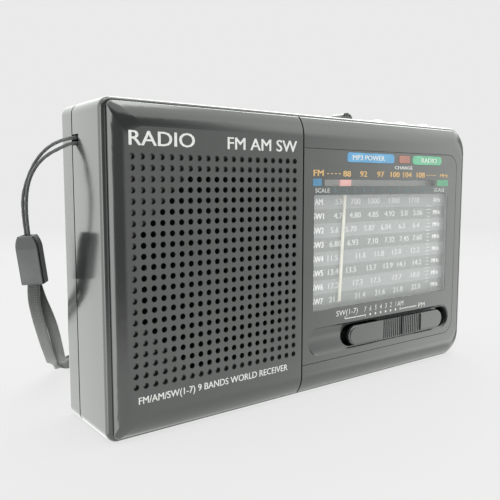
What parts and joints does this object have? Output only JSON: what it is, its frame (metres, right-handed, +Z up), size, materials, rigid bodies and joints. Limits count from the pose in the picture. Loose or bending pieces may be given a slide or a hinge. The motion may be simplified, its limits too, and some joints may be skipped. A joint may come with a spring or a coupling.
{
  "type": "shortwave receiver",
  "caption": "Pocket shortwave receiver: black case with perforated speaker panel, slide-rule dial, sliding band switch, edge wheels, folding telescopic aerial and wrist strap.",
  "frame": {"origin": "middle of the flat base face that the case stands on", "axes": "+X to the right seen from the front, along the case's length; the front faces -Y; +Z up"},
  "size_m": [0.1452, 0.0754, 0.0809],
  "materials": {
    "case_black": "moulded, polished black",
    "panel_black": "screen printed, polished",
    "cover_black": "fine texture",
    "lens": "clear",
    "scale_print": "printed bands",
    "steel": "plain",
    "pointer_white": "needle with a pink head",
    "cord_nylon": "thin nylon",
    "drum_white": "natural acetal",
    "board_green": "solder mask",
    "part_black": "moulded",
    "speaker_steel": "zinc plated",
    "cone_paper": "paper cone",
    "magnet": "plated",
    "ferrite": "sintered",
    "copper_coil": "enamelled wire",
    "knob_black": "moulded, polished black",
    "lamp_blue": "blue",
    "lamp_red": "red",
    "lamp_green": "green",
    "battery": "shrink sleeve",
    "contact": "plated",
    "chrome": "polished",
    "string": "braided",
    "sleeve": "moulded",
    "webbing": "ribbed braid"
  },
  "bodies": {
    "case": {"front_shell": "case_black", "speaker_grille": "case_black", "dial_panel": "panel_black", "dial_lens": "lens", "lamp_blue": "lamp_blue", "lamp_red": "lamp_red", "lamp_green": "lamp_green", "dial_plate": "scale_print", "pointer_rail": "steel", "tuning_pin": "steel", "volume_pot": "part_black", "tuning_capacitor": "part_black", "dial_cord": "cord_nylon", "band_switch": "part_black", "main_board": "board_green", "board_chips": "part_black", "ferrite_rod": "ferrite", "ferrite_coil": "copper_coil", "speaker_frame": "speaker_steel", "speaker_cone": "cone_paper", "speaker_magnet": "magnet", "earphone_jack": "part_black", "charge_socket": "steel", "mode_switch": "part_black", "key_switches": "part_black", "rear_cover": "cover_black", "battery_pack": "battery", "battery_contacts": "contact", "case_screws": "steel", "wrist_string": "string", "strap_webbing": "webbing", "strap_sleeve": "sleeve"},
    "band_selector": {"band_switch_knob": "knob_black"},
    "tuner": {"tuning_wheel": "knob_black"},
    "pointer": {"dial_pointer": "pointer_white"},
    "drum": {"dial_drum": "drum_white"},
    "volume": {"volume_wheel": "knob_black"},
    "mode": {"mode_switch_knob": "knob_black"},
    "key_1": {"button_1": "knob_black"},
    "key_2": {"button_2": "knob_black"},
    "key_3": {"button_3": "knob_black"},
    "door": {"battery_door": "cover_black"},
    "swivel": {"antenna_swivel": "chrome"},
    "rod_1": {"antenna_tube_1": "chrome"},
    "rod_2": {"antenna_tube_2": "chrome"},
    "rod_3": {"antenna_tube_3": "chrome"},
    "rod_4": {"antenna_tube_4": "chrome"},
    "rod_5": {"antenna_tube_5": "chrome"}
  },
  "joints": [
    {"name": "tuning_turn", "type": "hinge", "parent": "case", "child": "tuner", "pos_m": [0.057, -0.0073, 0.052], "axis": [0, 1, 0], "range_deg": [-97.4, 489.9]},
    {"name": "pointer_travel", "type": "slide", "parent": "case", "child": "pointer", "axis": [1, 0, 0], "range_m": [-0.0069, 0.0343]},
    {"name": "drum_turn", "type": "hinge", "parent": "case", "child": "drum", "pos_m": [0.03, -0.0073, 0.04], "axis": [0, 1, 0], "range_deg": [-30, 150.5]},
    {"name": "band_select", "type": "slide", "parent": "case", "child": "band_selector", "axis": [1, 0, 0], "range_m": [-0.015, 0.0023]},
    {"name": "volume_turn", "type": "hinge", "parent": "case", "child": "volume", "pos_m": [0.0585, -0.004, 0.024], "axis": [0, 1, 0], "range_deg": [0, 280]},
    {"name": "mode_slide", "type": "slide", "parent": "case", "child": "mode", "axis": [1, 0, 0], "range_m": [-0.003, 0.003]},
    {"name": "key_1_press", "type": "slide", "parent": "case", "child": "key_1", "axis": [0, 0, -1], "range_m": [0, 0.0009], "stiffness_N_per_m": 800, "springref_m": -0.0004},
    {"name": "key_2_press", "type": "slide", "parent": "case", "child": "key_2", "axis": [0, 0, -1], "range_m": [0, 0.0009], "stiffness_N_per_m": 800, "springref_m": -0.0004},
    {"name": "key_3_press", "type": "slide", "parent": "case", "child": "key_3", "axis": [0, 0, -1], "range_m": [0, 0.0009], "stiffness_N_per_m": 800, "springref_m": -0.0004},
    {"name": "door_slide", "type": "slide", "parent": "case", "child": "door", "axis": [1, 0, 0], "range_m": [0, 0.012]},
    {"name": "antenna_turn", "type": "hinge", "parent": "case", "child": "swivel", "pos_m": [-0.053, 0.0102, 0.0715], "axis": [0, 0, 1], "range_deg": [0, 90]},
    {"name": "antenna_fold", "type": "hinge", "parent": "swivel", "child": "rod_1", "pos_m": [-0.053, 0.0102, 0.075], "axis": [0, -1, 0], "range_deg": [0, 90]},
    {"name": "antenna_pull_1", "type": "slide", "parent": "rod_1", "child": "rod_2", "axis": [1, 0, 0], "range_m": [0, 0.086]},
    {"name": "antenna_pull_2", "type": "slide", "parent": "rod_2", "child": "rod_3", "axis": [1, 0, 0], "range_m": [0, 0.086]},
    {"name": "antenna_pull_3", "type": "slide", "parent": "rod_3", "child": "rod_4", "axis": [1, 0, 0], "range_m": [0, 0.086]},
    {"name": "antenna_pull_4", "type": "slide", "parent": "rod_4", "child": "rod_5", "axis": [1, 0, 0], "range_m": [0, 0.086]}
  ],
  "couplings": [
    {"joint": "pointer_travel", "follows": "tuning_turn", "m_per_rad": 0.004},
    {"joint": "drum_turn", "follows": "tuning_turn", "ratio": 0.30651}
  ]
}
